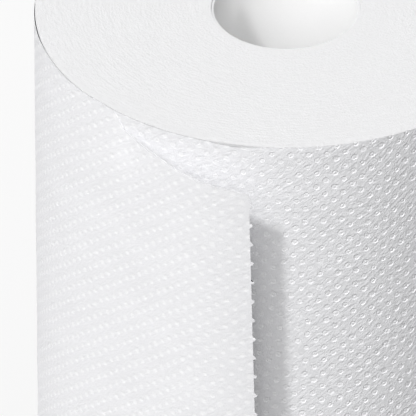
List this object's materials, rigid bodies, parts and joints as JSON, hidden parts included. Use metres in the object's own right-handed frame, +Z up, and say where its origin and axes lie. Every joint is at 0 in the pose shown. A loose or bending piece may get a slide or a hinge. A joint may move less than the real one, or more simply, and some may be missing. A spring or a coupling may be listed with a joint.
{
  "type": "paper towel roll",
  "caption": "Roll of white embossed paper towel on a card tube, standing on its end, with the torn end of the web standing loose off the roll.",
  "frame": {"origin": "the middle of the tube's hole, on the face that the roll stands on", "axes": "+Z up along the roll's axis; the loose end of the web stands off on the -Y side, with its torn edge towards +X"},
  "size_m": [0.1396, 0.15, 0.279],
  "materials": {
    "tissue_paper": "matt embossed tissue",
    "white_card": "smooth matt card"
  },
  "bodies": {
    "root": {"paper_winding": "tissue_paper", "core_tube": "white_card"}
  },
  "joints": []
}
